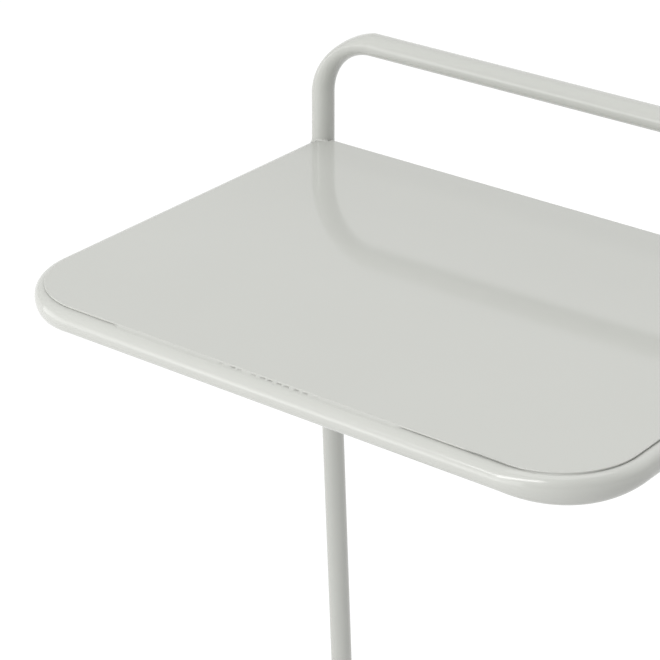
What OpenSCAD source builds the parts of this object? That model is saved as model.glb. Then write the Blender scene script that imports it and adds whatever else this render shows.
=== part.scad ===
// Cantilever side table of bent steel tube with a powder coat.
// A thin sheet lies on a tube rim as the tabletop, with a carrying handle across its rear edge.
// Two rear legs carry it. They lean back a little and turn forward along the floor into one loop.
// Origin: on the floor, at the centre of the plan outline. +X right, +Y to the handle side, +Z up.

/* [Table] */
// Distance between the axes of the two rear posts
post_spacing = 500; // [420:5:600]
// Distance from the post axes forward to the axis of the rim's front rail
top_reach = 371; // [300:1:450]
// Distance from the post axes forward to the axis of the floor loop's front bar
floor_reach = 371; // [300:1:450]
// Distance from the post axes forward to the axis of the rear rail under the sheet
rear_rail_reach = 3; // [2:0.5:6]
// Height of the tabletop's upper face above the floor
top_height = 610; // [500:5:700]
// Height of the handle bar's axis above the tabletop's upper face
handle_rise = 91.8; // [80:0.1:130]
// Angle by which the legs lean back on their way down, in degrees
leg_lean = 3; // [1:0.5:6]

/* [Tube] */
// Outer diameter of the frame tube
tube_d = 19; // [16:0.5:22]
// Wall of the frame tube
tube_wall = 1.5; // [1:0.1:2]
// Bend radius of the handle's corners, to the tube axis
handle_bend_r = 51; // [40:1:60]
// Bend radius of the rim's front corners, to the tube axis
rim_bend_r = 62; // [45:1:90]
// Bend radius of each leg into its floor runner, to the tube axis
foot_bend_r = 62; // [45:1:90]
// Bend radius of the floor loop's front corners, to the tube axis
loop_bend_r = 62; // [45:1:90]
// Share of its radius by which the tube is pressed in on the outer side of a handle bend
handle_squash = 0.53; // [0:0.01:0.6]
// Power by which the deepest press of a handle bend moves from its middle toward the bar
handle_press_skew = 1.2; // [1:0.05:1.5]
// Share of its radius by which the tube spreads sideways in a handle bend
handle_spread = 0.08; // [0:0.01:0.2]
// Share of its radius by which the tube is pressed in on the outer side of a rim bend
rim_squash = 0.15; // [0:0.01:0.3]
// Share of its radius by which the tube bulges downward in a rim bend
rim_bulge = 0.3; // [0:0.01:0.35]

/* [Tabletop] */
// Thickness of the tabletop sheet
sheet_t = 1.6; // [1:0.1:3]
// Radius of the sheet's front corners
sheet_corner_r = 62; // [45:1:90]
// Distance by which the sheet's front edge stands forward of the front rail's axis
sheet_front = 1.3; // [0:0.1:4]
// Distance by which the sheet's side edges lie inside the side rails' axes
sheet_side_inset = 0.5; // [0:0.1:4]
// Distance by which the sheet's rear edge stands behind the rear rail's axis
sheet_rear = 1.7; // [0:0.1:1.7]
// Gap between the sheet's notched rear corners and the posts
notch_gap = 0.4; // [0.2:0.1:2]
// Gap between the sheet and the crown of the rim, filled by paint
seat_gap = 0.1; // [0.05:0.05:0.3]

/* [Stiffeners] */
// Distance of each stiffener's centre line from the middle of the table
stiffener_offset = 84; // [50:1:130]
// Width of a stiffener's channel
stiffener_w = 22; // [16:1:40]
// Height of a stiffener below the sheet
stiffener_h = 10; // [6:0.5:14]
// Width of each of a stiffener's two welding flanges
flange_w = 11; // [6:1:20]
// Wall of a stiffener
stiffener_wall = 1.2; // [0.8:0.1:2]

/* [Joints] */
// Length of post that shows below the rim, down to the joint with the leg
post_tail = 3; // [2:0.5:10]
// Gap between the ends of two joined tubes
joint_gap = 0.2; // [0.1:0.1:0.5]
// Gap between a coped tube end and the post that it is welded to
weld_gap = 0.1; // [0.05:0.05:0.3]
// Length of a spigot on each side of its joint
spigot_reach = 30; // [24:1:40]
// Radial clearance of a spigot in its tube
spigot_clearance = 0.15; // [0.1:0.05:0.3]
// Distance from the post axes forward to the joint of leg and floor loop
floor_joint_reach = 170; // [150:1:180]
// Distance of a joint screw from its joint
screw_setback = 15; // [12:1:20]
// Diameter of a joint screw's shank
screw_d = 6; // [4:0.5:6]
// Diameter of a joint screw's head
screw_head_d = 10.5; // [9:0.5:12]
// Height of a joint screw's head
screw_head_h = 3.3; // [2.5:0.1:4]
// Width across the flats of the hexagon socket in a screw head
socket_af = 4; // [3:0.5:5]
// Radial clearance of a screw in a tube wall or washer
screw_clearance = 0.3; // [0.2:0.1:0.5]
// Diameter of a saddle washer
washer_d = 12.5; // [12:0.5:14]
// Thickness of a saddle washer over the crown of the tube
washer_t = 1.5; // [1:0.1:3]

/* [Glides] */
// Height by which a glide lifts the tube off the floor
glide_lift = 4; // [2:0.5:8]
// Diameter of a glide
glide_d = 18; // [14:1:24]
// Height by which a glide's rim reaches up beside the tube
glide_wrap = 2.5; // [1:0.5:4]
// Chamfer on a glide's lower edge
glide_chamfer = 1; // [0.5:0.1:2]
// Diameter of the hole in the tube for a glide's peg
peg_hole_d = 5; // [4:0.5:6]
// Distance of a glide's centre from the end of the nearest bend
glide_setback = 14; // [12:1:30]

/* [Hidden] */
$fn = 64;

paint_colour = [0.80, 0.81, 0.79];
zinc_colour = [0.66, 0.67, 0.69];
plastic_colour = [0.62, 0.62, 0.60];

// Sides of a bent tube's section, and steps along one of its bends
tube_sides = 32;
bend_steps = 12;
// Length by which a cut runs past the face that it opens
cut_over = 1;
// Radial clearance of a screw in the spigot's thread and of a peg in its hole
thread_clearance = 0.1;
// Gap between a saddle washer or a glide and the tube that it lies on
saddle_gap = 0.05;
// Gap between a stiffener's cut ends and the rails
stiffener_gap = 0.3;
// Gap between a stiffener's flanges and the sheet
flange_gap = 0.05;
// Height of the barb on a glide's peg, its step over the peg, and its play above the tube's wall
barb_h = 2;
barb_step = 0.4;
peg_lead = 0.6;

tube_r = tube_d / 2;
bore_r = tube_r - tube_wall;
post_x = post_spacing / 2;

rim_z = top_height - sheet_t - seat_gap - tube_r;
bar_z = top_height + handle_rise;
joint_z = rim_z - tube_r - post_tail;
floor_z = glide_lift + tube_r;

// The foot bend's centre, counted from the post axes, and the straight length of a leg above it
foot_centre_z = floor_z + foot_bend_r;
foot_centre_reach = foot_bend_r * cos(leg_lean)
    - tan(leg_lean) * (joint_z - foot_centre_z - foot_bend_r * sin(leg_lean));
leg_length = (joint_z - foot_centre_z - foot_bend_r * sin(leg_lean)) / cos(leg_lean);

// The post axes lie behind the origin, which is at the middle of the plan outline
rear_overhang = foot_bend_r + tube_r - foot_centre_reach;
front_overhang = max(top_reach, floor_reach) + tube_r;
post_y = (front_overhang - rear_overhang) / 2;
rim_front_y = post_y - top_reach;
rear_rail_y = post_y - rear_rail_reach;
loop_front_y = post_y - floor_reach;
foot_y = post_y - foot_centre_reach;
floor_joint_y = post_y - floor_joint_reach;

// One section of a bent tube. u points away from the bend's centre and v across the bend's plane.
// reach_u, reach_in, reach_v and reach_down are its half widths along u, against u, along v and against v.
function section(centre, u, v, reach_u, reach_in, reach_v, reach_down) = [
    for (i = [0:tube_sides - 1])
        let (a = 360 * i / tube_sides)
            centre + (cos(a) > 0 ? reach_u : reach_in) * cos(a) * u
                + (sin(a) > 0 ? reach_v : reach_down) * sin(a) * v
];

function flatten(rows) = [for (row = rows) for (point = row) point];

// A hollow tube through two lists of sections of the same length, its outer and its inner surface
module tube_skin(outer, inner) {
    n = tube_sides;
    m = len(outer);
    function at(j, i) = j * n + i % n;
    function inside(j, i) = m * n + at(j, i);
    walls = flatten([for (j = [0:m - 2]) for (i = [0:n - 1]) [
        [at(j, i), at(j, i + 1), at(j + 1, i + 1)],
        [at(j, i), at(j + 1, i + 1), at(j + 1, i)],
        [inside(j, i), inside(j + 1, i + 1), inside(j, i + 1)],
        [inside(j, i), inside(j + 1, i), inside(j + 1, i + 1)]
    ]]);
    ends = flatten([for (i = [0:n - 1]) [
        [at(0, i), inside(0, i + 1), at(0, i + 1)],
        [at(0, i), inside(0, i), inside(0, i + 1)],
        [at(m - 1, i), at(m - 1, i + 1), inside(m - 1, i + 1)],
        [at(m - 1, i), inside(m - 1, i + 1), inside(m - 1, i)]
    ]]);
    polyhedron(points = concat(flatten(outer), flatten(inner)), faces = concat(walls, ends));
}

// A solid bar through a list of sections
module bar_skin(rows) {
    n = tube_sides;
    m = len(rows);
    walls = flatten([for (j = [0:m - 2]) for (i = [0:n - 1]) [
        [j * n + i, j * n + (i + 1) % n, (j + 1) * n + (i + 1) % n],
        [j * n + i, (j + 1) * n + (i + 1) % n, (j + 1) * n + i]
    ]]);
    first = [for (i = [n - 1:-1:0]) i];
    last = [for (i = [0:n - 1]) (m - 1) * n + i];
    polyhedron(points = flatten(rows), faces = concat(walls, [first], [last]));
}

// Share of the full press in a handle bend, from its end on the post (0) to its end on the bar (1)
function press_share(t) = sin(180 * pow(t, handle_press_skew));

// Stations along the handle: centre, direction away from the bend's centre, and share of the full press
function handle_stations() = concat(
    [[[-post_x, post_y, joint_z], [-1, 0, 0], 0]],
    [for (k = [0:bend_steps])
        let (a = 180 - 90 * k / bend_steps)
            [[-post_x + handle_bend_r * (1 + cos(a)), post_y, bar_z - handle_bend_r * (1 - sin(a))],
             [cos(a), 0, sin(a)], press_share(k / bend_steps)]],
    [for (k = [0:bend_steps])
        let (a = 90 - 90 * k / bend_steps)
            [[post_x - handle_bend_r * (1 - cos(a)), post_y, bar_z - handle_bend_r * (1 - sin(a))],
             [cos(a), 0, sin(a)], press_share(1 - k / bend_steps)]],
    [[[post_x, post_y, joint_z], [1, 0, 0], 0]]
);

function handle_section(s, wall) = section(
    s[0], s[1], [0, 1, 0],
    tube_r * (1 - handle_squash * s[2]) - wall, tube_r - wall,
    tube_r * (1 + handle_spread * s[2]) - wall, tube_r * (1 + handle_spread * s[2]) - wall
);

// Stations along the rim, from the left post round the front to the right post
function rim_stations() = concat(
    [[[-post_x, post_y, rim_z], [-1, 0, 0], 0]],
    [for (k = [0:bend_steps])
        let (a = 180 + 90 * k / bend_steps)
            [[-post_x + rim_bend_r * (1 + cos(a)), rim_front_y + rim_bend_r * (1 + sin(a)), rim_z],
             [cos(a), sin(a), 0], sin(180 * k / bend_steps)]],
    [for (k = [0:bend_steps])
        let (a = 270 + 90 * k / bend_steps)
            [[post_x - rim_bend_r * (1 - cos(a)), rim_front_y + rim_bend_r * (1 + sin(a)), rim_z],
             [cos(a), sin(a), 0], sin(180 * k / bend_steps)]],
    [[[post_x, post_y, rim_z], [1, 0, 0], 0]]
);

// A section of the rim. At the posts its points are drawn back along Y to the post's surface, as a coped end.
function rim_section(s, wall) = [
    for (p = section(s[0], s[1], [0, 0, 1], tube_r * (1 - rim_squash * s[2]) - wall, tube_r - wall,
                     tube_r - wall, tube_r * (1 + rim_bulge * s[2]) - wall))
        s[0].y == post_y ? [p.x, post_y - cope(p.x - s[0].x), p.z] : p
];

// Distance from a post's axis plane to its surface, with the weld gap, at a sideways offset
function cope(offset) = sqrt(pow(tube_r + weld_gap, 2) - pow(offset, 2));

// A straight round bar of a given length from a point, to the right or forward
module bar_x(from, length, r) {
    translate(from) rotate([0, 90, 0]) cylinder(h = length, r = r);
}
module bar_forward(from, length, r) {
    translate(from) rotate([90, 0, 0]) cylinder(h = length, r = r);
}

// The point on the right leg's axis at a distance below the joint with its post
function on_leg(distance) = [post_x, post_y + distance * sin(leg_lean), joint_z - distance * cos(leg_lean)];

// A hollow straight length of tube up from the origin
module pipe(length) {
    difference() {
        cylinder(h = length, r = tube_r);
        translate([0, 0, -cut_over]) cylinder(h = length + 2 * cut_over, r = bore_r);
    }
}

// A hollow bend of tube round the Z axis, from the X axis on
module pipe_bend(bend_r, angle) {
    rotate_extrude(angle = angle)
        translate([bend_r, 0])
            difference() {
                circle(r = tube_r);
                circle(r = bore_r);
            }
}

// Stations along the right leg, from under the post to the joint with the floor loop
function leg_stations() = concat(
    [[on_leg(0), [0, cos(leg_lean), sin(leg_lean)]]],
    [for (k = [0:bend_steps])
        let (a = leg_lean - (90 + leg_lean) * k / bend_steps)
            [[post_x, foot_y + foot_bend_r * cos(a), foot_centre_z + foot_bend_r * sin(a)], [0, cos(a), sin(a)]]],
    [[[post_x, floor_joint_y, floor_z], [0, 0, -1]]]
);

// A section of the leg. The first one is cut level, just below the end of the post.
function leg_section(j, s, r) = [
    for (p = section(s[0], s[1], [-1, 0, 0], r, r, r, r))
        let (drop = (p.z - joint_z + joint_gap) / cos(leg_lean))
            j == 0 ? p + drop * [0, sin(leg_lean), -cos(leg_lean)] : p
];

module right_leg_tube() {
    stations = leg_stations();
    rows = [0:len(stations) - 1];
    difference() {
        tube_skin([for (j = rows) leg_section(j, stations[j], tube_r)],
                  [for (j = rows) leg_section(j, stations[j], bore_r)]);
        joint_screw_hole(on_leg(screw_setback));
        peg_hole(rear_glide_place());
    }
}

// The floor loop, from the right leg round the front to the left leg
module loop_tube() {
    corner_x = post_x - loop_bend_r;
    side_length = floor_reach - loop_bend_r - floor_joint_reach - joint_gap;
    translate([0, loop_front_y, floor_z]) {
        for (side = [-1, 1])
            on_side(side)
                translate([corner_x, loop_bend_r, 0]) {
                    translate([loop_bend_r, side_length, 0]) rotate([90, 0, 0]) pipe(side_length);
                    rotate([0, 0, -90]) pipe_bend(loop_bend_r, 90);
                }
        translate([-corner_x, 0, 0]) rotate([0, 90, 0]) pipe(2 * corner_x);
    }
}

// A hole for a joint screw through the inner wall of a right-hand tube, at a point on the tube's axis
module joint_screw_hole(place) {
    bar_x(place - [tube_r + cut_over, 0, 0], tube_r + cut_over, screw_d / 2 + screw_clearance);
}

// A hole for a glide's peg through the lower wall of a tube, at a point on the tube's axis
module peg_hole(place) {
    translate(place - [0, 0, tube_r + cut_over]) cylinder(h = tube_r + cut_over, d = peg_hole_d);
}

function floor_screw_place() = [post_x, floor_joint_y - screw_setback, floor_z];
function front_glide_place() = [post_x - loop_bend_r - glide_setback, loop_front_y, floor_z];
function rear_glide_place() = [post_x, foot_y - glide_setback, floor_z];

// Draws its child on the right, or mirrored on the left
module on_side(side) {
    if (side > 0) children();
    else mirror([1, 0, 0]) children();
}

module tabletop_sheet() {
    half_w = post_x - sheet_side_inset;
    front_y = rim_front_y - sheet_front;
    rear_y = rear_rail_y + sheet_rear;
    r = sheet_corner_r;
    color(paint_colour)
        translate([0, 0, top_height - sheet_t])
            linear_extrude(sheet_t)
                difference() {
                    union() {
                        translate([-half_w, front_y + r]) square([2 * half_w, rear_y - front_y - r]);
                        translate([r - half_w, front_y]) square([2 * (half_w - r), r + cut_over]);
                        for (side = [-1, 1])
                            translate([side * (half_w - r), front_y + r]) circle(r = r);
                    }
                    for (side = [-1, 1])
                        translate([side * post_x, post_y]) circle(r = tube_r + notch_gap);
                }
}

module rim_tube() {
    stations = rim_stations();
    color(paint_colour)
        tube_skin([for (s = stations) rim_section(s, 0)], [for (s = stations) rim_section(s, tube_wall)]);
}

module rear_rail() {
    color(paint_colour)
        difference() {
            translate([-post_x, rear_rail_y, rim_z]) rotate([0, 90, 0]) pipe(post_spacing);
            // Each end is coped to its post and to its side rail
            for (side = [-1, 1]) {
                translate([side * post_x, post_y, rim_z - tube_d]) cylinder(h = 2 * tube_d, r = tube_r + weld_gap);
                bar_forward([side * post_x, post_y + tube_d, rim_z], 2 * tube_d, tube_r + weld_gap);
            }
        }
}

module handle_tube() {
    stations = handle_stations();
    color(paint_colour)
        tube_skin([for (s = stations) handle_section(s, 0)], [for (s = stations) handle_section(s, tube_wall)]);
}

module right_leg() {
    color(paint_colour) right_leg_tube();
}

module left_leg() {
    color(paint_colour) mirror([1, 0, 0]) right_leg_tube();
}

module floor_loop() {
    color(paint_colour)
        difference() {
            loop_tube();
            for (side = [-1, 1])
                on_side(side) {
                    joint_screw_hole(floor_screw_place());
                    peg_hole(front_glide_place());
                }
        }
}

// A folded channel under the sheet, open upward, with two flanges welded to the sheet
module stiffener(side) {
    front_y = rim_front_y + tube_r + stiffener_gap;
    length = rear_rail_y - tube_r - stiffener_gap - front_y;
    half = stiffener_w / 2;
    w = stiffener_wall;
    color(paint_colour)
        translate([side * stiffener_offset, front_y + length, top_height - sheet_t - flange_gap])
            rotate([90, 0, 0])
                linear_extrude(length)
                    polygon([
                        [-half - flange_w, 0], [-half + w, 0], [-half + w, w - stiffener_h],
                        [half - w, w - stiffener_h], [half - w, 0], [half + flange_w, 0],
                        [half + flange_w, -w], [half, -w], [half, -stiffener_h],
                        [-half, -stiffener_h], [-half, -w], [-half - flange_w, -w]
                    ]);
}

// A bar inside post and leg, bent at the joint by the leg's lean, with a threaded cross hole
module post_spigot(side) {
    r = bore_r - spigot_clearance;
    v = [-1, 0, 0];
    mitre_r = r / cos(leg_lean / 2);
    color(zinc_colour)
        on_side(side)
            difference() {
                bar_skin([
                    section(on_leg(0) + [0, 0, spigot_reach], [0, 1, 0], v, r, r, r, r),
                    section(on_leg(0), [0, cos(leg_lean / 2), sin(leg_lean / 2)], v, mitre_r, mitre_r, r, r),
                    section(on_leg(spigot_reach), [0, cos(leg_lean), sin(leg_lean)], v, r, r, r, r)
                ]);
                bar_x(on_leg(screw_setback) - [tube_r, 0, 0], tube_d, screw_d / 2);
            }
}

// A bar inside leg and floor loop, with a threaded cross hole
module floor_spigot(side) {
    r = bore_r - spigot_clearance;
    color(zinc_colour)
        on_side(side)
            difference() {
                bar_forward([post_x, floor_joint_y + spigot_reach, floor_z], 2 * spigot_reach, r);
                bar_x(floor_screw_place() - [tube_r, 0, 0], tube_d, screw_d / 2);
            }
}

// A button head screw from the inner side of a right-hand tube, at a point on the tube's axis
module joint_screw(place) {
    seat = tube_r + saddle_gap + washer_t;
    translate(place)
        rotate([0, -90, 0])
            difference() {
                union() {
                    cylinder(h = seat, d = screw_d - 2 * thread_clearance);
                    translate([0, 0, seat]) button_head();
                }
                translate([0, 0, seat + screw_head_h / 2])
                    cylinder(h = screw_head_h, d = socket_af / cos(30), $fn = 6);
            }
}

// A low dome, cut from a ball that passes through the head's rim and its crown
module button_head() {
    half = screw_head_d / 2;
    ball_r = (half * half + screw_head_h * screw_head_h) / (2 * screw_head_h);
    intersection() {
        cylinder(h = screw_head_h, r = half);
        translate([0, 0, screw_head_h - ball_r]) sphere(r = ball_r);
    }
}

// A round washer with a hollow underside that lies on a right-hand tube along a direction
module saddle_washer(place, tilt) {
    translate(place)
        difference() {
            rotate([0, -90, 0]) cylinder(h = tube_r + saddle_gap + washer_t, d = washer_d);
            rotate([tilt, 0, 0]) translate([0, 0, -tube_d]) cylinder(h = 2 * tube_d, r = tube_r + saddle_gap);
            rotate([0, -90, 0]) cylinder(h = tube_d, r = screw_d / 2 + screw_clearance);
        }
}

module post_joint_screws() {
    color(zinc_colour)
        for (side = [-1, 1]) on_side(side) joint_screw(on_leg(screw_setback));
}

module post_joint_washers() {
    color(plastic_colour)
        for (side = [-1, 1]) on_side(side) saddle_washer(on_leg(screw_setback), leg_lean);
}

module floor_joint_screws() {
    color(zinc_colour)
        for (side = [-1, 1]) on_side(side) joint_screw(floor_screw_place());
}

module floor_joint_washers() {
    color(plastic_colour)
        for (side = [-1, 1]) on_side(side) saddle_washer(floor_screw_place(), 90);
}

// A round plastic glide under a tube, with a snap peg. The tube runs along X, or along Y when turned.
module glide(place, turn) {
    peg_r = peg_hole_d / 2 - thread_clearance;
    r = glide_d / 2;
    color(plastic_colour)
        translate([place.x, place.y, 0])
            rotate([0, 0, turn]) {
                difference() {
                    union() {
                        cylinder(h = glide_chamfer, r1 = r - glide_chamfer, r2 = r);
                        translate([0, 0, glide_chamfer])
                            cylinder(h = glide_lift + glide_wrap - glide_chamfer, r = r);
                    }
                    bar_x([-glide_d, 0, floor_z], 2 * glide_d, tube_r + saddle_gap);
                }
                translate([0, 0, glide_lift / 2])
                    cylinder(h = glide_lift / 2 + tube_wall + peg_lead, r = peg_r);
                translate([0, 0, glide_lift + tube_wall + peg_lead])
                    cylinder(h = barb_h, r1 = peg_r + barb_step, r2 = peg_r - barb_step);
            }
}

function left_of(place) = [-place.x, place.y, place.z];

module glide_front_left() { glide(left_of(front_glide_place()), 0); }
module glide_front_right() { glide(front_glide_place(), 0); }
module glide_rear_left() { glide(left_of(rear_glide_place()), 90); }
module glide_rear_right() { glide(rear_glide_place(), 90); }

tabletop_sheet();
rim_tube();
rear_rail();
handle_tube();
left_leg();
right_leg();
floor_loop();
stiffener(-1);  // stiffener_left
stiffener(1);  // stiffener_right
post_spigot(-1);  // post_spigot_left
post_spigot(1);  // post_spigot_right
floor_spigot(-1);  // floor_spigot_left
floor_spigot(1);  // floor_spigot_right
post_joint_screws();
post_joint_washers();
floor_joint_screws();
floor_joint_washers();
glide_front_left();
glide_front_right();
glide_rear_left();
glide_rear_right();
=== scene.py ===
import math
import bpy
from mathutils import Matrix, Quaternion, Vector


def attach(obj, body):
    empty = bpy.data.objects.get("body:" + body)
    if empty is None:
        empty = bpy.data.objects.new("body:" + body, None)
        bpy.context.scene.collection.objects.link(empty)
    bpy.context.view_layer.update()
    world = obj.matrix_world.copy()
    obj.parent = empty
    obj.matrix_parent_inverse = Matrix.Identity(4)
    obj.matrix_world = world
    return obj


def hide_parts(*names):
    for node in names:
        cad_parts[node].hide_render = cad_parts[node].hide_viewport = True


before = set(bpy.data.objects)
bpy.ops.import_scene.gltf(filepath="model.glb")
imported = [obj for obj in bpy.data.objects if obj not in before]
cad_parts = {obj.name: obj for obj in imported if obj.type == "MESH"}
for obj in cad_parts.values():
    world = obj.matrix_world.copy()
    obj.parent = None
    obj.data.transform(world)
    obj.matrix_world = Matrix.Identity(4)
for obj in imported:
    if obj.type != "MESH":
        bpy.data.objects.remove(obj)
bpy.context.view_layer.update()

# Lengths are in millimetres unless a comment says otherwise, and MM turns them into metres
MM = 0.001

# Sizes shared with the CAD source
POST_X = 250.0
TOP_REACH = 371.0
FLOOR_REACH = 371.0
TOP_H = 610.0
BAR_RISE = 91.8
LEAN = math.radians(3)
TUBE_R = 9.5
BORE_R = 8.0
HANDLE_BEND = 51.0
RIM_BEND = 62.0
FOOT_BEND = 62.0
LOOP_BEND = 62.0
HANDLE_SQUASH = 0.53
HANDLE_SKEW = 1.2
HANDLE_SPREAD = 0.08
RIM_SQUASH = 0.15
RIM_BULGE = 0.30
SHEET_T = 1.6
SHEET_CORNER = 62.0
SHEET_FRONT = 1.3
SHEET_SIDE = 0.5
SHEET_REAR = 1.7
NOTCH_GAP = 0.4
SEAT_GAP = 0.1
WELD_GAP = 0.1
JOINT_GAP = 0.2
POST_TAIL = 3.0
RAIL_REACH = 3.0
GLIDE_LIFT = 4.0
FLOOR_JOINT_REACH = 170.0
STIFFENER_X = 84.0
SCREW_SETBACK = 15.0
SADDLE_GAP = 0.05
WASHER_T = 1.5
SHANK_R = 2.9
HEAD_R = 5.25
HEAD_H = 3.3
SOCKET_AF = 4.0

# Places that follow from these sizes
NOTCH_R = TUBE_R + NOTCH_GAP
RIM_Z = TOP_H - SHEET_T - SEAT_GAP - TUBE_R
JOINT_Z = RIM_Z - TUBE_R - POST_TAIL
FLOOR_Z = GLIDE_LIFT + TUBE_R
FOOT_Z = FLOOR_Z + FOOT_BEND
FOOT_DROP = JOINT_Z - FOOT_Z - FOOT_BEND * math.sin(LEAN)
FOOT_REACH = FOOT_BEND * math.cos(LEAN) - math.tan(LEAN) * FOOT_DROP
POST_Y = (max(TOP_REACH, FLOOR_REACH) + TUBE_R - (FOOT_BEND + TUBE_R - FOOT_REACH)) / 2
RIM_FRONT = POST_Y - TOP_REACH
LOOP_FRONT = POST_Y - FLOOR_REACH
FOOT_Y = POST_Y - FOOT_REACH
FLOOR_JOINT_Y = POST_Y - FLOOR_JOINT_REACH
RAIL_Y = POST_Y - RAIL_REACH
BAR_Z = TOP_H + BAR_RISE
HEAD_SEAT = TUBE_R + SADDLE_GAP + WASHER_T

# How fine the meshes are
SIDES = 96
BEND_STEPS = 48
CORNER_STEPS = 40
EDGE_STEPS = 24
NOTCH_STEPS = 20
ROUND_STEPS = 4
TOP_RINGS = 60
DOME_STEPS = 10
BEAD_SIDES = 14

# Where rows of points stand along a tube's straight runs
NEAR_END = 0.5
MIDDLE = 60.0
ABOVE_RIM = 20.0
PAST_COPE = 14.0
ALONG_SIDE = 100.0
BESIDE_JOINT = 3.0
DOWN_LEG = (4.0, 60.0, 200.0, 400.0)

# The sheet: the rounding of its upper edge, where its flat faces begin, and the slight wave of its top
TOP_ROUND = 0.45
FLAT_INSET = 1.8
SPINE = 180.0
WAVE_Y = 5.0
WAVE_HALF = 165.0
WAVE_HEIGHT = 0.62

# The rounding of the sheet's lower edge, which sets how wide the seam to the rim looks. X is along the front
SEAM_ROUND = 0.6
PLAIN_UNTIL_X = 60.0
WIDER_FROM_X = 85.0
WIDER_OVER = 60.0
WIDER_BY = 0.5
WIDEST_X = 178.0
WIDEST_OVER = 24.0
CLOSED_FROM_X = 222.0
CLOSED_OVER = 12.0
CORNER_DEPTH = 20.0
CORNER_WIDER_BY = 0.35
CORNER_WIDER_OVER = 30.0

# The screw sockets' bevelled mouths
MOUTH_R = 2.55
MOUTH_DROP = 0.18

# Paint that bridges the seam between sheet and rim. Its places run along the sheet's front edge from the
# middle, positive to the right and on round the corner. A stretch is its start and end, how full it is,
# and its tapers at the start and at the end
STRETCHES = ((-147, 109, 1.0, 6.0, 6.0), (197, 280, 0.72, 24.0, 58.0))
FILL_SPACING = 0.6
FILL_LEAST = 0.06
FILL_TRACE = 0.02
# Short openings in that paint: the place and the depth, up to 1, of each
SPOTS = ((-46.2, 0.5), (-36.0, 0.9), (-30.0, 0.6), (-17.4, 0.6), (-9.3, 0.9), (-3.0, 0.95), (4.9, 1.0),
         (11.5, 1.0), (19.8, 0.95), (27.5, 0.9), (36.5, 0.3))
SPOT_REACH = 2.5
SPOT_EDGE = 1.5

# Weld beads. Angles are in degrees, and RIM_MEETS_Y is counted from the post's axis
BEAD_STEPS = 90
BEAD_RIPPLE = 0.06
RIPPLE_RATE = 4.2
END_TAPER = 0.25
POST_BEAD_R = 0.8
POST_BEAD_SWELL = 2.0
POST_BEAD_SINK = 0.95
POST_BEAD_START = -8.0
POST_BEAD_SWEEP = 172.0
POST_BEAD_RETURN = 24.0
RETURN_STEPS = 14
RAIL_BEAD_R = 1.7
RAIL_BEAD_SINK = 0.5
RAIL_BEAD_START = -222.0
RAIL_BEAD_SWEEP = 264.0
RIM_MEETS_Y = -2.0
WEB_WELD = 19.0
WEB_BEAD_R = 1.4
WEB_BEAD_SINK = 0.3
WEB_BEAD_STEPS = 26
WEB_BEAD_RIPPLE = 0.1

# The stiffeners' folded edges
FOLD_ROUND = 0.5
FOLD_ANGLE = math.radians(40)
MERGE_DISTANCE = 0.01

# Colours
PAINT = (0.400, 0.405, 0.382)
# The seam's paint is the same paint made a little darker: painted shade on the paint that bridges the seam
SHADED_SEAM_PAINT = tuple(0.92 * c for c in PAINT)
PLASTIC = (0.39, 0.395, 0.373)
ZINC_DARK = (0.45, 0.46, 0.48)
ZINC_LIGHT = (0.62, 0.63, 0.65)
FLOOR_DARK = (0.20, 0.20, 0.20)
FLOOR_LIGHT = (0.22, 0.22, 0.22)
WHITE = (1, 1, 1, 1)

# The floor, with its half size in metres
FLOOR_HALF = 40.0
FLOOR_GLOW = 0.81

# The dome of light: its even level, then azimuth, elevation, tightness and strength of each brighter patch
DOME_LEVEL = 0.400
DOME_PATCHES = ((0, 90, 6, 0.69), (90, 38, 10, 1.43), (45, 38, 10, 0.80), (270, 38, 10, 1.09),
                (135, 5, 10, 0.72), (225, 5, 10, 0.50))

# Where the other lights aim, in metres
LIGHT_AIM = (0, 0, 0.5)

# The photograph's camera, fitted to the table's outlines from the left post's axis at the sheet's height
CAMERA =(1232.3 - POST_X, -1567.2 + POST_Y, 785.71 + TOP_H)
YAW = math.radians(-38.017)
PITCH = math.radians(25.818)
FOCAL_PIXELS = 2566.4
PICTURE_PIXELS = 660
SENSOR = 36.0


# Materials

def new_material(name):
    material = bpy.data.materials.new(name)
    material.use_nodes = True
    tree = material.node_tree
    return material, tree, tree.nodes["Principled BSDF"]


def object_place(tree):
    return tree.nodes.new("ShaderNodeTexCoord").outputs["Object"]


def noise(tree, place, scale, detail, rough=0.5):
    node = tree.nodes.new("ShaderNodeTexNoise")
    node.inputs["Scale"].default_value = scale
    node.inputs["Detail"].default_value = detail
    node.inputs["Roughness"].default_value = rough
    tree.links.new(place, node.inputs["Vector"])
    return node.outputs["Fac"]


def map_range(tree, value, low, high, start=0.3, end=0.7):
    node = tree.nodes.new("ShaderNodeMapRange")
    node.inputs["From Min"].default_value = start
    node.inputs["From Max"].default_value = end
    node.inputs["To Min"].default_value = low
    node.inputs["To Max"].default_value = high
    tree.links.new(value, node.inputs["Value"])
    return node.outputs["Result"]


def mix_colour(tree, factor, a, b):
    node = tree.nodes.new("ShaderNodeMix")
    node.data_type = "RGBA"
    tree.links.new(factor, node.inputs["Factor"])
    node.inputs["A"].default_value = (*a, 1)
    node.inputs["B"].default_value = (*b, 1)
    return node.outputs["Result"]


def bump(tree, height, strength, distance, normal=None):
    node = tree.nodes.new("ShaderNodeBump")
    node.inputs["Strength"].default_value = strength
    node.inputs["Distance"].default_value = distance
    tree.links.new(height, node.inputs["Height"])
    if normal is not None:
        tree.links.new(normal, node.inputs["Normal"])
    return node.outputs["Normal"]


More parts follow.
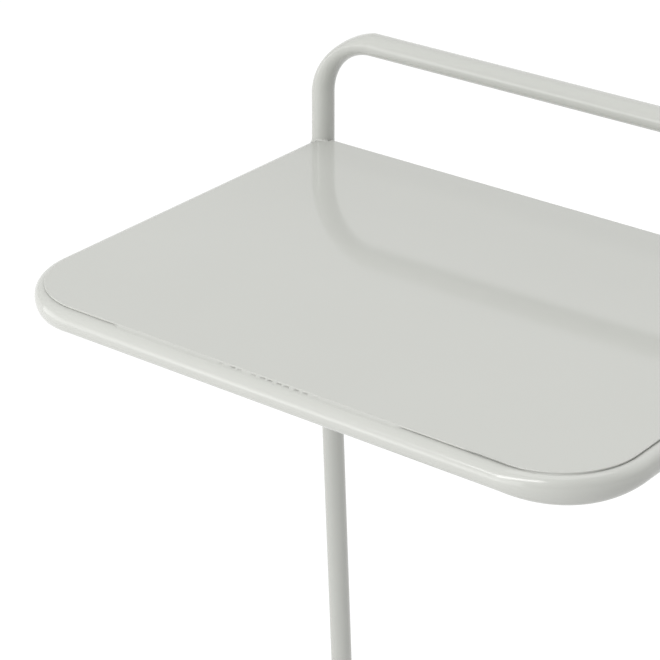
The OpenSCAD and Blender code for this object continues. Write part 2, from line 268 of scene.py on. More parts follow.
def powder_coat(name, tint, rough, peel, ior=1.5, shine=0.455):
    """Satin powder coat: a faintly mottled tone, a slightly uneven gloss and the fine orange peel of the
    baked powder."""
    material, tree, shader = new_material(name)
    place = object_place(tree)
    cloud = noise(tree, place, scale=9.0, detail=2.0)
    dust = noise(tree, place, scale=900.0, detail=2.0)
    orange = noise(tree, place, scale=420.0, detail=1.5, rough=0.4)
    dark = tuple(c * 0.985 for c in tint)
    light = tuple(c * 1.015 for c in tint)
    tree.links.new(mix_colour(tree, cloud, dark, light), shader.inputs["Base Color"])
    gloss = map_range(tree, cloud, low=rough * 0.93, high=rough * 1.07)
    tree.links.new(gloss, shader.inputs["Roughness"])
    peeled = bump(tree, orange, strength=peel, distance=0.0004)
    dusted = bump(tree, dust, strength=peel * 0.5, distance=0.0001, normal=peeled)
    tree.links.new(dusted, shader.inputs["Normal"])
    shader.inputs["IOR"].default_value = ior
    shader.inputs["Specular IOR Level"].default_value = shine
    shader.inputs["Metallic"].default_value = 0.0
    return material


def zinc(name):
    """Zinc plating: bright metal with a fine spangle in tone, gloss and surface."""
    material, tree, shader = new_material(name)
    spangle = noise(tree, object_place(tree), scale=260.0, detail=4.0)
    tree.links.new(mix_colour(tree, spangle, ZINC_DARK, ZINC_LIGHT), shader.inputs["Base Color"])
    tree.links.new(map_range(tree, spangle, low=0.24, high=0.42), shader.inputs["Roughness"])
    tree.links.new(bump(tree, spangle, strength=0.08, distance=0.0002), shader.inputs["Normal"])
    shader.inputs["Metallic"].default_value = 1.0
    return material


def moulded_plastic(name, tint):
    """Matte plastic with the fine grain of its mould."""
    material, tree, shader = new_material(name)
    place = object_place(tree)
    grain = noise(tree, place, scale=1500.0, detail=3.0)
    cloud = noise(tree, place, scale=60.0, detail=2.0)
    dark = tuple(c * 0.94 for c in tint)
    tree.links.new(mix_colour(tree, cloud, dark, tint), shader.inputs["Base Color"])
    tree.links.new(map_range(tree, grain, low=0.42, high=0.58), shader.inputs["Roughness"])
    tree.links.new(bump(tree, grain, strength=0.25, distance=0.0002), shader.inputs["Normal"])
    return material


coat_sheet = powder_coat("powder_coat_sheet", PAINT, rough=0.08, peel=0.02, ior=1.55, shine=0.32)
# The seam's coat is the same powder coat, rougher, in the darker tint that paints shade onto it
coat_seam = powder_coat("powder_coat_shaded_seam", SHADED_SEAM_PAINT, rough=0.45, peel=0.08, shine=0.25)
coat_tube = powder_coat("powder_coat_tube", PAINT, rough=0.15, peel=0.04)
coat_under = powder_coat("powder_coat_under", PAINT, rough=0.22, peel=0.08)
screw_zinc = zinc("zinc_plated")
glide_plastic = moulded_plastic("glide_plastic", PLASTIC)


# Helpers for all meshes

def ramp(t):
    return max(0.0, min(1.0, t))


def ease(t):
    t = ramp(t)
    return t * t * (3 - 2 * t)


def enclosed(verts, faces):
    """Six times the volume that the faces enclose, negative where they look inward."""
    total = 0.0
    for face in faces:
        ax, ay, az = verts[face[0]]
        for i in range(1, len(face) - 1):
            bx, by, bz = verts[face[i]]
            cx, cy, cz = verts[face[i + 1]]
            total += ax * (by * cz - bz * cy) + ay * (bz * cx - bx * cz) + az * (bx * cy - by * cx)
    return total


def make_mesh(name, verts, faces, flat_faces=()):
    """A closed mesh that looks outward, with smooth shading except on its flat faces."""
    if enclosed(verts, faces) < 0:
        faces = [face[::-1] for face in faces]
    mesh = bpy.data.meshes.new(name)
    mesh.from_pydata([tuple(c * MM for c in v) for v in verts], [], faces)
    mesh.update()
    flat = set(flat_faces)
    for i, polygon in enumerate(mesh.polygons):
        polygon.use_smooth = i not in flat
    obj = bpy.data.objects.new(name, mesh)
    bpy.context.scene.collection.objects.link(obj)
    return obj


def band(base, rows, n):
    """Quads between neighbouring rings of n points, where the first ring starts at the index base."""
    faces = []
    for j in range(rows - 1):
        row, after = base + j * n, base + (j + 1) * n
        for i in range(n):
            k = (i + 1) % n
            faces.append((row + i, row + k, after + k, after + i))
    return faces


def caps(base, rows, n):
    """The faces that close the first and the last ring of such a band."""
    last = base + (rows - 1) * n
    return [tuple(base + i for i in range(n))[::-1], tuple(last + i for i in range(n))]


def arc(cx, cy, r, start, end, n):
    points = []
    for k in range(n + 1):
        a = start + (end - start) * k / n
        points.append((cx + r * math.cos(a), cy + r * math.sin(a)))
    return points


# Tubes

def section(centre, u, v, out, back, up, down):
    """A ring of points round a centre, with its own reach along u, against u, along v and against v."""
    points = []
    for i in range(SIDES):
        a = 2 * math.pi * i / SIDES
        c, s = math.cos(a), math.sin(a)
        along_u = out if c > 0 else back
        along_v = up if s > 0 else down
        points.append(tuple(centre[k] + along_u * c * u[k] + along_v * s * v[k] for k in range(3)))
    return points


def tube_mesh(name, outer, inner):
    """A hollow tube through outer and inner rows of points, closed at its ends by flat rings."""
    rows = len(outer)
    verts = [point for row in outer for point in row] + [point for row in inner for point in row]
    base = rows * SIDES
    faces = band(0, rows, SIDES) + [face[::-1] for face in band(base, rows, SIDES)]
    flat = []
    for j, turned in ((0, False), (rows - 1, True)):
        for i in range(SIDES):
            k = (i + 1) % SIDES
            end = (j * SIDES + i, base + j * SIDES + i, base + j * SIDES + k, j * SIDES + k)
            flat.append(len(faces))
            faces.append(end[::-1] if turned else end)
    return make_mesh(name, verts, faces, flat)


def press(t, skew=1.0):
    """How strongly a bend is pressed out of round: 0 at its ends and 1 in its middle, or past it with a
    skew."""
    return math.sin(math.pi * t ** skew)


def handle_rows(wall):
    """The handle from the left post's lower end over the bar to the right post's lower end."""
    rows = []

    def add(centre, u, pressed):
        across = TUBE_R * (1 + HANDLE_SPREAD * pressed) - wall
        outside = TUBE_R * (1 - HANDLE_SQUASH * pressed) - wall
        rows.append(section(centre, u, (0, 1, 0), outside, TUBE_R - wall, across, across))

    bend_z = BAR_Z - HANDLE_BEND
    bar_end = POST_X - HANDLE_BEND - NEAR_END
    post_heights = (JOINT_Z, JOINT_Z + NEAR_END, RIM_Z, RIM_Z + ABOVE_RIM, bend_z - NEAR_END)
    for z in post_heights:
        add((-POST_X, POST_Y, z), (-1, 0, 0), 0)
    for k in range(BEND_STEPS + 1):
        a = math.pi - math.pi / 2 * k / BEND_STEPS
        x = -POST_X + HANDLE_BEND * (1 + math.cos(a))
        z = BAR_Z - HANDLE_BEND * (1 - math.sin(a))
        add((x, POST_Y, z), (math.cos(a), 0, math.sin(a)), press(k / BEND_STEPS, HANDLE_SKEW))
    for x in (-bar_end, -MIDDLE, MIDDLE, bar_end):
        add((x, POST_Y, BAR_Z), (0, 0, 1), 0)
    for k in range(BEND_STEPS + 1):
        a = math.pi / 2 - math.pi / 2 * k / BEND_STEPS
        x = POST_X - HANDLE_BEND * (1 - math.cos(a))
        z = BAR_Z - HANDLE_BEND * (1 - math.sin(a))
        add((x, POST_Y, z), (math.cos(a), 0, math.sin(a)), press(1 - k / BEND_STEPS, HANDLE_SKEW))
    for z in post_heights[::-1]:
        add((POST_X, POST_Y, z), (1, 0, 0), 0)
    return rows


def u_rows(add, bend_r, front):
    """Adds the rows round both front corners of a U-shaped tube and along its straight front: add takes a
    place, the way out of the bend, and how strongly the bend is pressed there."""
    front_end = POST_X - bend_r - NEAR_END
    for k in range(BEND_STEPS + 1):
        a = math.pi + math.pi / 2 * k / BEND_STEPS
        x = -POST_X + bend_r * (1 + math.cos(a))
        y = front + bend_r * (1 + math.sin(a))
        add((x, y), (math.cos(a), math.sin(a), 0), press(k / BEND_STEPS))
    for x in (-front_end, -MIDDLE, MIDDLE, front_end):
        add((x, front), (0, -1, 0), 0)
    for k in range(BEND_STEPS + 1):
        a = 1.5 * math.pi + math.pi / 2 * k / BEND_STEPS
        x = POST_X - bend_r * (1 - math.cos(a))
        y = front + bend_r * (1 + math.sin(a))
        add((x, y), (math.cos(a), math.sin(a), 0), press(k / BEND_STEPS))


def rim_rows(wall):
    """The rim from the left post round the front to the right post; its ends are coped to the posts."""
    rows = []

    def add(place, u, pressed, coped=False):
        inside = TUBE_R - wall
        outside = TUBE_R * (1 - RIM_SQUASH * pressed) - wall
        below = TUBE_R * (1 + RIM_BULGE * pressed) - wall
        row = section((*place, RIM_Z), u, (0, 0, 1), outside, inside, inside, below)
        if coped:
            saddle = TUBE_R + WELD_GAP
            row = [(x, POST_Y - math.sqrt(saddle ** 2 - (x - place[0]) ** 2), z) for x, y, z in row]
        rows.append(row)

    side_places = (POST_Y - PAST_COPE, POST_Y - ALONG_SIDE, RIM_FRONT + RIM_BEND + NEAR_END)
    add((-POST_X, POST_Y), (-1, 0, 0), 0, True)
    for y in side_places:
        add((-POST_X, y), (-1, 0, 0), 0)
    u_rows(add, RIM_BEND, RIM_FRONT)
    for y in side_places[::-1]:
        add((POST_X, y), (1, 0, 0), 0)
    add((POST_X, POST_Y), (1, 0, 0), 0, True)
    return rows


def on_leg(side, distance):
    """The point on a leg's axis at a distance below the joint with its post."""
    return (side * POST_X, POST_Y + distance * math.sin(LEAN), JOINT_Z - distance * math.cos(LEAN))


def leg_rows(side, r):
    """A leg from its level upper end, down the leaning run and round the foot to the floor loop's joint."""
    rows = []
    sin_lean, cos_lean = math.sin(LEAN), math.cos(LEAN)

    def add(centre, u):
        rows.append(section(centre, u, (-side, 0, 0), r, r, r, r))

    add(on_leg(side, 0), (0, cos_lean, sin_lean))
    level = []
    for x, y, z in rows[0]:
        drop = (z - JOINT_Z + JOINT_GAP) / cos_lean
        level.append((x, y + drop * sin_lean, z - drop * cos_lean))
    rows[0] = level
    run = (JOINT_Z - FOOT_Z - FOOT_BEND * sin_lean) / cos_lean
    for distance in (*DOWN_LEG, run - NEAR_END):
        add(on_leg(side, distance), (0, cos_lean, sin_lean))
    for k in range(BEND_STEPS + 1):
        a = LEAN - (math.pi / 2 + LEAN) * k / BEND_STEPS
        y = FOOT_Y + FOOT_BEND * math.cos(a)
        z = FOOT_Z + FOOT_BEND * math.sin(a)
        add((side * POST_X, y, z), (0, math.cos(a), math.sin(a)))
    for y in (FOOT_Y - NEAR_END, FLOOR_JOINT_Y + BESIDE_JOINT, FLOOR_JOINT_Y):
        add((side * POST_X, y, FLOOR_Z), (0, 0, -1))
    if side < 0:
        rows = [row[::-1] for row in rows]
    return rows


def loop_rows(r):
    """The floor loop from the left leg's joint round the front to the right leg's joint. Its bends stay
    round, so its rows don't use how strongly a bend is pressed."""
    rows = []

    def add(place, u, pressed):
        rows.append(section((*place, FLOOR_Z), u, (0, 0, 1), r, r, r, r))

    start = FLOOR_JOINT_Y - JOINT_GAP
    side_places = (start, start - BESIDE_JOINT, LOOP_FRONT + LOOP_BEND + NEAR_END)
    for y in side_places:
        add((-POST_X, y), (-1, 0, 0), 0)
    u_rows(add, LOOP_BEND, LOOP_FRONT)
    for y in side_places[::-1]:
        add((POST_X, y), (1, 0, 0), 0)
    return rows


# Sheet and the paint in its seam

def sheet_outline(inset):
    """The sheet's outline drawn in by an inset: two round front corners and a notch round each post."""
    half = POST_X - SHEET_SIDE - inset
    front = RIM_FRONT - SHEET_FRONT + inset
    rear = RAIL_Y + SHEET_REAR - inset
    r = SHEET_CORNER - inset
    notch_r = NOTCH_R + inset
    points = arc(-half + r, front + r, r, math.pi, 1.5 * math.pi, CORNER_STEPS)
    for k in range(1, EDGE_STEPS):
        points.append((-half + r + (2 * half - 2 * r) * k / EDGE_STEPS, front))
    points += arc(half - r, front + r, r, 1.5 * math.pi, 2 * math.pi, CORNER_STEPS)
    # The right notch runs from the side edge round the post to the rear edge, and the left one mirrors it
    beside = half - POST_X
    behind = rear - POST_Y
    notch_start = math.atan2(-math.sqrt(notch_r * notch_r - beside ** 2), beside)
    notch_end = math.atan2(behind, -math.sqrt(notch_r * notch_r - behind ** 2))
    if notch_end > 0:
        notch_end -= 2 * math.pi
    notch = arc(POST_X, POST_Y, notch_r, notch_start, notch_end, NOTCH_STEPS)
    points += notch
    rear_end = notch[-1][0]
    for k in range(1, EDGE_STEPS):
        points.append((rear_end - 2 * rear_end * k / EDGE_STEPS, rear))
    points += [(-x, y) for x, y in notch[::-1]]
    return points


def seam_opening(x, y):
    """How far the sheet's lower edge is rounded off at a place: most near the right end of the front's
    straight run, a little more again where the right corner ends, and least elsewhere."""
    if x < PLAIN_UNTIL_X:
        return SEAM_ROUND
    if y > RIM_FRONT + CORNER_DEPTH:
        past_corner = abs(y - RIM_FRONT - RIM_BEND)
        return SEAM_ROUND + CORNER_WIDER_BY * ramp(1 - past_corner / CORNER_WIDER_OVER)
    wider = ramp((x - WIDER_FROM_X) / WIDER_OVER) + ramp(1 - abs(x - WIDEST_X) / WIDEST_OVER)
    return SEAM_ROUND + WIDER_BY * wider * ramp((CLOSED_FROM_X - x) / CLOSED_OVER)


def off_flat(x, y):
    """How far the top of the sheet stands off flat: it swells by half a millimetre before its middle, sinks
    as much behind it, and lies flat along its edges. The handle's faint reflection shows this slope."""
    t = (y - WAVE_Y) / WAVE_HALF
    if abs(t) >= 1:
        return 0.0
    return -WAVE_HEIGHT * math.sin(math.pi * t) * (1 - t * t) * (1 - (x / POST_X) ** 4)


def sheet_mesh(name):
    """The sheet with a small rounding along its top edge and a larger one below, where the seam shows."""
    low = TOP_H - SHEET_T
    # A ring's points lie on the lines from the edge to the outline drawn in by one millimetre
    edge, inset = sheet_outline(0.0), sheet_outline(1.0)
    n = len(edge)
    rows = []

    def ring(start_z, reach, rise, reach_by_opening=0.0, rise_by_opening=0.0):
        """Adds a ring at a reach in from the edge and a rise from a height. Both may also grow with how far
        the lower edge is rounded off at each place."""
        row = []
        for (x0, y0), (x1, y1) in zip(edge, inset):
            opening = seam_opening(x0, y0)
            d = reach + reach_by_opening * opening
            row.append((x0 + (x1 - x0) * d, y0 + (y1 - y0) * d, start_z + rise + rise_by_opening * opening))
        rows.append(row)

    ring(low, FLAT_INSET, 0.0)
    for k in range(ROUND_STEPS + 1):
        a = math.pi / 2 * k / ROUND_STEPS
        ring(low, 0.0, 0.0, 1 - math.sin(a), 1 - math.cos(a))
    for k in range(ROUND_STEPS + 1):
        a = math.pi / 2 * k / ROUND_STEPS
        ring(TOP_H, TOP_ROUND * (1 - math.cos(a)), -TOP_ROUND * (1 - math.sin(a)))
    ring(TOP_H, FLAT_INSET, 0.0)
    flat_row = rows[-1]
    for k in range(1, TOP_RINGS):
        t = k / TOP_RINGS
        row = []
        for x0, y0, _ in flat_row:
            x = x0 * (1 - t) + max(-SPINE, min(SPINE, x0)) * t
            y = y0 * (1 - t) + WAVE_Y * t
            row.append((x, y, TOP_H + off_flat(x, y)))
        rows.append(row)
    verts = [point for row in rows for point in row]
    faces = band(0, len(rows), n)
    flat = [len(faces), len(faces) + 1]
    return make_mesh(name, verts, faces + caps(0, len(rows), n), flat)


def seam_frame(s):
    """A place on the sheet's front edge and the way out from it: s runs along X on the straight run, and on
    round the corners by arc length."""
    straight = POST_X - SHEET_SIDE - SHEET_CORNER
    centre_y = RIM_FRONT - SHEET_FRONT + SHEET_CORNER
    side = -1 if s < 0 else 1
    past = abs(s) - straight
    if past <= 0:
        return (s, centre_y - SHEET_CORNER), (0.0, -1.0)
    a = past / SHEET_CORNER
    place = (side * (straight + SHEET_CORNER * math.sin(a)), centre_y - SHEET_CORNER * math.cos(a))
    return place, (side * math.sin(a), -math.cos(a))


def fill_profile(rim_offset):
    """The paint's section where it is full, as points of reach out from the sheet's edge and height: the
    first lies in the seam, and the rest run from that edge down over the rim and back under its surface."""
    low = TOP_H - SHEET_T

    def crown(reach):
        return RIM_Z + math.sqrt(TUBE_R ** 2 - (reach + rim_offset) ** 2)

    return [(-0.9, (low + crown(-0.9)) / 2), (-0.12, low + 1.44), (0.06, low + 1.12), (0.32, low + 0.68),
            (0.68, low + 0.20), (1.10, low - 0.18), (1.60, crown(1.6) + 0.04), (2.20, crown(2.2) - 0.02),
            (1.10, crown(1.1) - 0.3), (-0.2, crown(-0.2) - 0.05)]


def fill_growth(s, stretch):
    """How full the paint is at a place: thin at the ends of its stretch and at the short openings."""
    start, end, full, taper_in, taper_out = stretch
    from_start = FILL_TRACE + s - start
    from_end = FILL_TRACE + end - s
    grow = full * min(1.0, from_start / taper_in, from_end / taper_out)
    for place, depth in SPOTS:
        grow *= 1 - depth * ramp((SPOT_REACH - abs(s - place)) / SPOT_EDGE)
    return max(grow, FILL_LEAST)


def seam_fill(name):
    """The paint that bridges the seam between sheet and rim, in stretches with thin ends."""
    verts, faces = [], []
    for stretch in STRETCHES:
        start, end = stretch[:2]
        count = int((end - start) / FILL_SPACING)
        base = len(verts)
        for k in range(count + 1):
            s = start + (end - start) * k / count
            grow = fill_growth(s, stretch)
            (x, y), (nx, ny) = seam_frame(s)
            rim_offset = SHEET_FRONT
            if abs(s) > POST_X - SHEET_SIDE - SHEET_CORNER:
                bend_x = math.copysign(POST_X - RIM_BEND, s)
                rim_offset = math.hypot(x - bend_x, y - RIM_FRONT - RIM_BEND) - RIM_BEND
            profile = fill_profile(rim_offset)
            root_reach, root_z = profile[0]
            for reach, z in profile:
                reach = root_reach + (reach - root_reach) * grow
                verts.append((x + nx * reach, y + ny * reach, root_z + (z - root_z) * grow))
        m = len(profile)
        faces += band(base, count + 1, m) + caps(base, count + 1, m)
    return make_mesh(name, verts, faces)


# Welds and the painted fillets at the posts

def bead(name, path, radii, ripple=BEAD_RIPPLE):
    """A weld bead along a path: a round rope with fine ripples and tapered ends."""
    points = [Vector(point) for point in path]
    total = len(points)
    verts = []
    run = 0.0
    across = None
    for i, point in enumerate(points):
        before = points[i - 1] if i else point
        after = points[i + 1] if i + 1 < total else point
        along = (after - before).normalized()
        across = along.orthogonal() if across is None else across - along * across.dot(along)
        across.normalize()
        other = along.cross(across)
        run += (point - before).length
        taper = min(1.0, END_TAPER * (1 + min(i, total - 1 - i)))
        r = radii[i] * taper * (1 + ripple * math.sin(run * RIPPLE_RATE))
        for k in range(BEAD_SIDES):
            a = 2 * math.pi * k / BEAD_SIDES
            verts.append(tuple(point + across * (r * math.cos(a)) + other * (r * math.sin(a))))
    return make_mesh(name, verts, band(0, total, BEAD_SIDES) + caps(0, total, BEAD_SIDES))


def post_weld(name, side):
    """The bead where the coped end of a side rail meets its post, under the rail and round to its outer side.
    It is full where the two tubes form a corner, and sinks away where their outer sides run on into each
    other."""
    below = [(POST_BEAD_START - POST_BEAD_SWEEP * k / BEAD_STEPS, -1) for k in range(BEAD_STEPS + 1)]
    above = [(POST_BEAD_RETURN * k / RETURN_STEPS - 180, 1) for k in range(1, RETURN_STEPS + 1)]
    path, radii = [], []
    for degrees, way in below + above:
        c = math.cos(math.radians(degrees))
        s = abs(math.sin(math.radians(degrees)))
        r = POST_BEAD_R + POST_BEAD_SWELL * s
        out = Vector((-side * c, -s / 2, way * s / 2)).normalized()
        on = Vector((side * (POST_X - TUBE_R * c), POST_Y - TUBE_R * s, RIM_Z + way * TUBE_R * s))
        path.append(on - out * (POST_BEAD_SINK * r * math.sqrt(1 - s)))
        radii.append(r)
    return bead(name, path, radii)


def post_foot(name, side):
    """The painted fillet round the foot of a post: from the rim's outer side over the sheet's cut edge and on
    round most of the notch, where it ends and leaves the gap between sheet and post open. Angles are in
    degrees round the post, from the rim's outer side at 180 past the front at 270."""
    first, last, front, steps = 194, 334, 270, 130
    on_sheet, onto_sheet = 262, 14
    growing, growing_over, ending, ending_over = 190, 40, 336, 12
    widest, narrower_by, narrowing, narrowing_over = 4.4, 3.1, 224, 34
    least_wide, least_high, past_arc = 0.05, 0.1, 0.1
    arc_steps, sink = 8, 0.04
    deep_share, shallow_share, foot_depth = 0.92, 0.96, 0.9
    into_rim, into_sheet, rim_share = 0.08, 0.5, 0.9
    verts = []
    for k in range(steps + 1):
        degrees = first + (last - first) * k / steps
        c, s = math.cos(math.radians(degrees)), math.sin(math.radians(degrees))
        over = ease((degrees - on_sheet) / onto_sheet)
        grow = ease((degrees - growing) / growing_over) * ease((ending - degrees) / ending_over)
        foot = TUBE_R * abs(s) if degrees < front else TUBE_R
        foot += (TOP_H - RIM_Z - TUBE_R) * over
        dx, dy = (0.0, -1.0) if degrees < front else (c, s)
        spread = (widest - narrower_by * ease((degrees - narrowing) / narrowing_over)) * grow
        wide, high = spread + least_wide, spread + least_high
        px, py = TUBE_R * c, TUBE_R * s
        # Two points inside the post, the fillet's arc, and one point sunk in the rim or the sheet
        row = [(px * deep_share, py * deep_share, foot - foot_depth)]
        row.append((px * shallow_share, py * shallow_share, foot + high))
        for i in range(arc_steps + 1):
            a = math.pi / 2 * i / arc_steps
            d = wide * (1 - math.cos(a))
            row.append((px + dx * d, py + dy * d, foot + high * (1 - math.sin(a)) - sink))
        sunk_x, sunk_y = px + dx * (wide + past_arc), py + dy * (wide + past_arc)
        sunk_z = foot - into_sheet if over > 0.5 else foot * rim_share
        row.append((sunk_x * (1 - into_rim * (1 - over)), sunk_y, sunk_z))
        for x, y, z in row:
            verts.append((side * (POST_X - x), POST_Y + y, RIM_Z + z))
    m = len(row)
    return make_mesh(name, verts, band(0, steps + 1, m) + caps(0, steps + 1, m))


def rail_weld(name, side):
    """The bead round an end of the rear rail, where it meets the post behind and the side rail in front."""
    path, radii = [], []
    for k in range(BEAD_STEPS + 1):
        a = math.radians(RAIL_BEAD_START + RAIL_BEAD_SWEEP * k / BEAD_STEPS)
        y, z = TUBE_R * math.cos(a) - RAIL_REACH, TUBE_R * math.sin(a)
        to_post = math.sqrt(max(0.0, TUBE_R ** 2 - y * y))
        to_rim = math.sqrt(max(0.0, TUBE_R ** 2 - z * z)) if y < RIM_MEETS_Y else 0.0
        reach = max(to_post, to_rim) + RAIL_BEAD_SINK
        path.append((side * (POST_X - reach), POST_Y + y, RIM_Z + z))
        radii.append(RAIL_BEAD_R)
    return bead(name, path, radii)


def stiffener_weld(name, side, y, way):
    """The bead that joins the lower web of a stiffener to the tube at its end."""
    start = side * STIFFENER_X - WEB_WELD / 2
    path = []
    for k in range(WEB_BEAD_STEPS + 1):
        x = start + WEB_WELD * k / WEB_BEAD_STEPS
        path.append((x, y + way * WEB_BEAD_SINK, RIM_Z - WEB_BEAD_SINK))
    return bead(name, path, [WEB_BEAD_R] * len(path), WEB_BEAD_RIPPLE)


# Screws

def joint_screws(name, places):
    """A button head screw at each place, from the inner side of the tube: shank, dome and a socket with a
    bevelled mouth. A ring is the distance from the tube's axis, the radius, and whether it is a hexagon."""
    ball = (HEAD_R ** 2 + HEAD_H ** 2) / (2 * HEAD_H)
    brim = math.asin((ball - HEAD_H) / ball)
    mouth = math.acos(MOUTH_R / ball)
    rings = [(0.0, SHANK_R, False), (HEAD_SEAT, SHANK_R, False)]
    for k in range(DOME_STEPS + 1):
        a = brim + (mouth - brim) * k / DOME_STEPS
        rings.append((HEAD_SEAT + HEAD_H - ball * (1 - math.sin(a)), ball * math.cos(a), False))
    rings.append((rings[-1][0] - MOUTH_DROP, SOCKET_AF / 2, True))
    rings.append((HEAD_SEAT + HEAD_H / 2, SOCKET_AF / 2, True))
    smooth_bands = [0] + list(range(2, 2 + DOME_STEPS))
    verts, faces, flat = [], [], []
    for side, y, z in places:
        base = len(verts)
        for height, r, hexagon in rings:
            for i in range(SIDES):
                a = 2 * math.pi * i / SIDES
                reach = r / math.cos(a % (math.pi / 3) - math.pi / 6) if hexagon else r
                along, above = side * reach * math.cos(a), reach * math.sin(a)
                verts.append((side * (POST_X - height), y + along, z + above))
        for j in range(len(rings) - 1):
            if j not in smooth_bands:
                flat.extend(range(len(faces), len(faces) + SIDES))
            faces += band(base + j * SIDES, 2, SIDES)
        flat.extend((len(faces), len(faces) + 1))
        faces += caps(base, len(rings), SIDES)
    return make_mesh(name, verts, faces, flat)


# The pieces and what they stand for

def piece(obj, material, node_names):
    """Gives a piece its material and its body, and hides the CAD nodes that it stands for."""
    obj.data.materials.append(material)
    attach(obj, "root")
    if node_names:
        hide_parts(*node_names)


wall = TUBE_R - BORE_R
piece(tube_mesh("handle", handle_rows(0), handle_rows(wall)), coat_tube, ["handle_tube"])
piece(tube_mesh("rim", rim_rows(0), rim_rows(wall)), coat_tube, ["rim_tube"])
piece(tube_mesh("leg_left", leg_rows(-1, TUBE_R), leg_rows(-1, BORE_R)), coat_tube, ["left_leg"])
piece(tube_mesh("leg_right", leg_rows(1, TUBE_R), leg_rows(1, BORE_R)), coat_tube, ["right_leg"])
piece(tube_mesh("loop", loop_rows(TUBE_R), loop_rows(BORE_R)), coat_tube, ["floor_loop"])
piece(sheet_mesh("sheet"), coat_sheet, ["tabletop_sheet"])
piece(seam_fill("seam_paint"), coat_seam, [])
for side, name in ((-1, "left"), (1, "right")):
    piece(post_weld("post_weld_" + name, side), coat_tube, [])
    piece(post_foot("post_foot_" + name, side), coat_tube, [])
    piece(rail_weld("rail_weld_" + name, side), coat_under, [])
    piece(stiffener_weld("stiffener_weld_front_" + name, side, RIM_FRONT + TUBE_R, 1), coat_under, [])
    piece(stiffener_weld("stiffener_weld_rear_" + name, side, RAIL_Y - TUBE_R, -1), coat_under, [])

post_screws = [(side, *on_leg(side, SCREW_SETBACK)[1:]) for side in (-1, 1)]
floor_screws = [(side, FLOOR_JOINT_Y - SCREW_SETBACK, FLOOR_Z) for side in (-1, 1)]
piece(joint_screws("screws_at_posts", post_screws), screw_zinc, ["post_joint_screws"])
piece(joint_screws("screws_at_floor", floor_screws), screw_zinc, ["floor_joint_screws"])


def fold_edges(obj):
    """Rounds the folded edges of a stiffener a little."""
    obj.modifiers.new("joined_faces", "WELD").merge_threshold = MERGE_DISTANCE * MM
    edge = obj.modifiers.new("folded_edge", "BEVEL")
    edge.width = FOLD_ROUND * MM
    edge.segments = 3
    edge.limit_method = "ANGLE"
    edge.angle_limit = FOLD_ANGLE


def dress_cad_node(name, obj):
    """Gives a CAD node that stays in view its finish."""
    if name.startswith(("stiffener", "rear_rail")):
        material = coat_under
    elif name.startswith("glide") or name.endswith("washers"):
        material = glide_plastic
    else:
        material = screw_zinc
    obj.data.materials.clear()
    obj.data.materials.append(material)
    if name.startswith("stiffener"):
        fold_edges(obj)


for name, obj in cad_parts.items():
    if not obj.hide_render:
        dress_cad_node(name, obj)


# Floor, light and camera

def floor_white():
    """A white ground that glows a little, so that it stays white under the soft light."""
    material, tree, shader = new_material("floor_white")
    grain = noise(tree, object_place(tree), scale=3.0, detail=2.0)
    tree.links.new(mix_colour(tree, grain, FLOOR_DARK, FLOOR_LIGHT), shader.inputs["Base Color"])
    shader.inputs["Roughness"].default_value = 0.9
    shader.inputs["Specular IOR Level"].default_value = 0.0
    shader.inputs["Emission Color"].default_value = WHITE
    shader.inputs["Emission Strength"].default_value = FLOOR_GLOW
    return material


def studio_floor(half):
    mesh = bpy.data.meshes.new("floor")
    corners = [(-half, -half, 0), (half, -half, 0), (half, half, 0), (-half, half, 0)]
    mesh.from_pydata(corners, [], [(0, 1, 2, 3)])
    mesh.materials.append(floor_white())
    floor = bpy.data.objects.new("floor", mesh)
    bpy.context.scene.collection.objects.link(floor)


def toward(azimuth, elevation):
    """The direction at an azimuth from +X toward +Y and an elevation above the horizon, in degrees."""
    a, e = math.radians(azimuth), math.radians(elevation)
    return Vector((math.cos(a) * math.cos(e), math.sin(a) * math.cos(e), math.sin(e)))


def math_node(tree, operation):
    node = tree.nodes.new("ShaderNodeMath")
    node.operation = operation
    return node


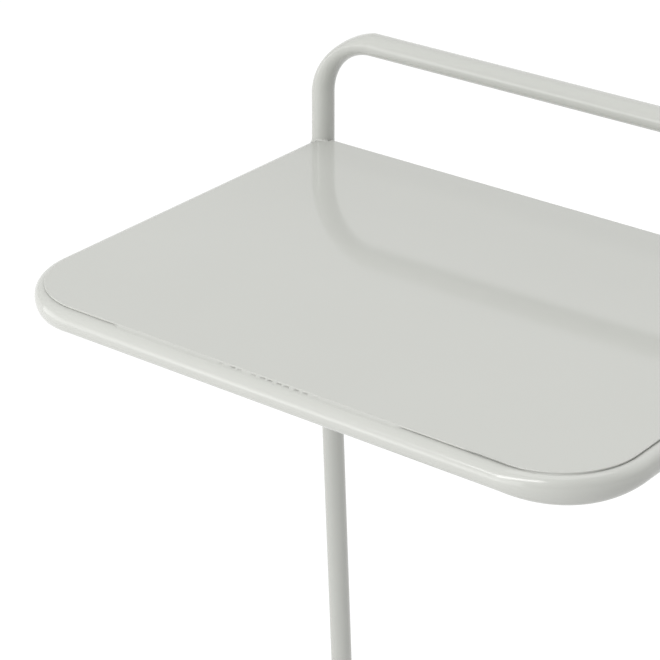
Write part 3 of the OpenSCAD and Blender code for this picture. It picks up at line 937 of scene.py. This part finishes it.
def soft_dome(level, patches):
    """An even dome of light with soft brighter patches."""
    world = bpy.data.worlds.new("studio")
    bpy.context.scene.world = world
    world.use_nodes = True
    tree = world.node_tree
    ray = tree.nodes.new("ShaderNodeTexCoord").outputs["Generated"]
    total = None
    for azimuth, elevation, tight, strength in patches:
        dot = tree.nodes.new("ShaderNodeVectorMath")
        dot.operation = "DOT_PRODUCT"
        tree.links.new(ray, dot.inputs[0])
        dot.inputs[1].default_value = toward(azimuth, elevation)
        facing = math_node(tree, "MAXIMUM")
        tree.links.new(dot.outputs["Value"], facing.inputs[0])
        facing.inputs[1].default_value = 0.0
        patch = math_node(tree, "POWER")
        tree.links.new(facing.outputs[0], patch.inputs[0])
        patch.inputs[1].default_value = tight
        add = math_node(tree, "MULTIPLY_ADD")
        tree.links.new(patch.outputs[0], add.inputs[0])
        add.inputs[1].default_value = strength
        if total is None:
            add.inputs[2].default_value = level
        else:
            tree.links.new(total, add.inputs[2])
        total = add.outputs[0]
    back = tree.nodes["Background"]
    back.inputs["Color"].default_value = WHITE
    tree.links.new(total, back.inputs["Strength"])


def area(name, azimuth, elevation, distance, size, power, roll=0.0):
    """A rectangular light that faces the middle of the table; distance and size are in metres."""
    light = bpy.data.lights.new(name, "AREA")
    light.shape = "RECTANGLE"
    light.size, light.size_y = size
    light.energy = power
    obj = bpy.data.objects.new(name, light)
    away = toward(azimuth, elevation)
    obj.location = Vector(LIGHT_AIM) + away * distance
    obj.rotation_mode = "QUATERNION"
    obj.rotation_quaternion = away.to_track_quat("Z", "Y") @ Quaternion((0, 0, 1), math.radians(roll))
    bpy.context.scene.collection.objects.link(obj)


def photo_camera():
    look = Vector((math.sin(YAW) * math.cos(PITCH), math.cos(YAW) * math.cos(PITCH), -math.sin(PITCH)))
    right = Vector((math.cos(YAW), -math.sin(YAW), 0))
    up = right.cross(look)
    x, y, z = (c * MM for c in CAMERA)
    data = bpy.data.cameras.new("camera")
    data.sensor_fit = "HORIZONTAL"
    data.sensor_width = SENSOR
    data.lens = SENSOR * FOCAL_PIXELS / PICTURE_PIXELS
    data.clip_start = 0.05
    data.clip_end = 200
    camera = bpy.data.objects.new("camera", data)
    camera.matrix_world = Matrix((
        (right.x, up.x, -look.x, x),
        (right.y, up.y, -look.y, y),
        (right.z, up.z, -look.z, z),
        (0, 0, 0, 1)))
    bpy.context.scene.collection.objects.link(camera)
    bpy.context.scene.camera = camera


studio_floor(FLOOR_HALF)
soft_dome(DOME_LEVEL, DOME_PATCHES)
area("key", azimuth=265, elevation=37.5, distance=2.6, size=(2.3, 0.54), power=33.0, roll=38)
area("low_fill", azimuth=262, elevation=8, distance=2.6, size=(1.3, 1.1), power=10.2)
area("top", azimuth=90, elevation=85, distance=2.4, size=(1.8, 1.8), power=14.3)
area("left_panel", azimuth=220, elevation=-1, distance=2.6, size=(2.6, 1.1), power=15.5)
area("under_fill", azimuth=248, elevation=-6, distance=2.2, size=(1.2, 0.5), power=3.2)
photo_camera()
bpy.context.scene.view_settings.view_transform = "Standard"
bpy.context.scene.view_settings.look = "None"
